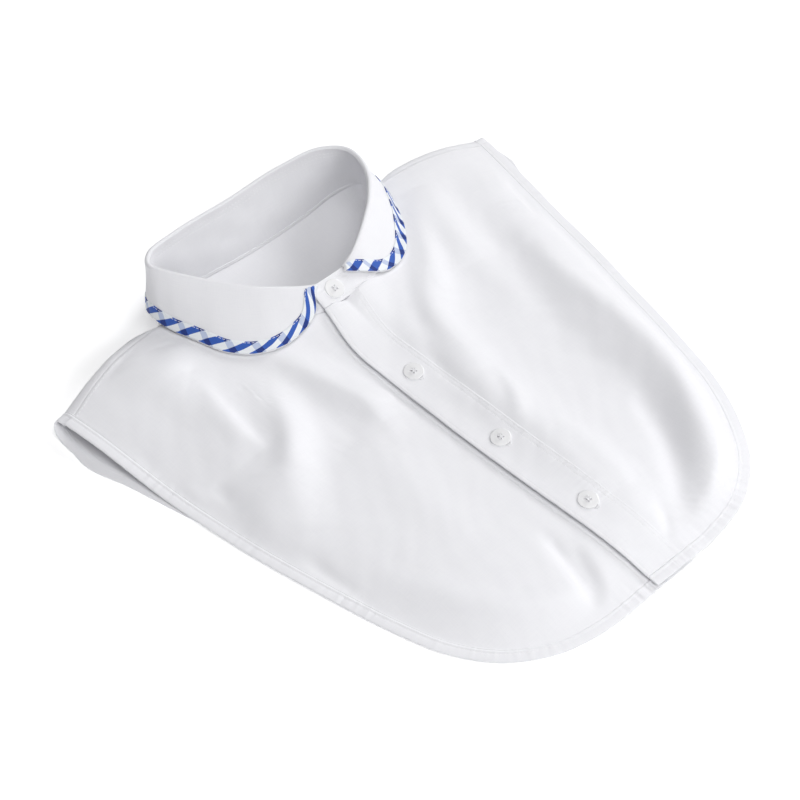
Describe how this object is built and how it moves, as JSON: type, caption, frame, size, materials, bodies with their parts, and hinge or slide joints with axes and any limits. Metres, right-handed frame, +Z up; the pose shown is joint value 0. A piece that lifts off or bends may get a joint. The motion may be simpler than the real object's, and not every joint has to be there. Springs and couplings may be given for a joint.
{
  "type": "detachable shirt collar",
  "caption": "Buttoned white dickey with short front and back panels, a standing turned-down collar and a blue check trim along its edge, laid flat.",
  "frame": {"origin": "centre of the footprint on the surface that the garment lies on", "axes": "+X towards the wearer's left, +Y from the hem towards the neck, +Z up from the surface"},
  "size_m": [0.3724, 0.3892, 0.0498],
  "materials": {
    "white_cloth": "smooth plain weave",
    "check_cloth": "plain weave, blue and grey check on white",
    "white_button": "polished"
  },
  "bodies": {
    "root": {"back_panel": "white_cloth", "front_right": "white_cloth", "front_left": "white_cloth", "placket": "white_cloth", "binding_back": "white_cloth", "binding_front_right": "white_cloth", "binding_front_left": "white_cloth", "collar_stand": "white_cloth", "collar_fall": "white_cloth", "collar_trim": "check_cloth", "button_1": "white_button", "button_2": "white_button", "button_3": "white_button", "button_4": "white_button"}
  },
  "joints": []
}
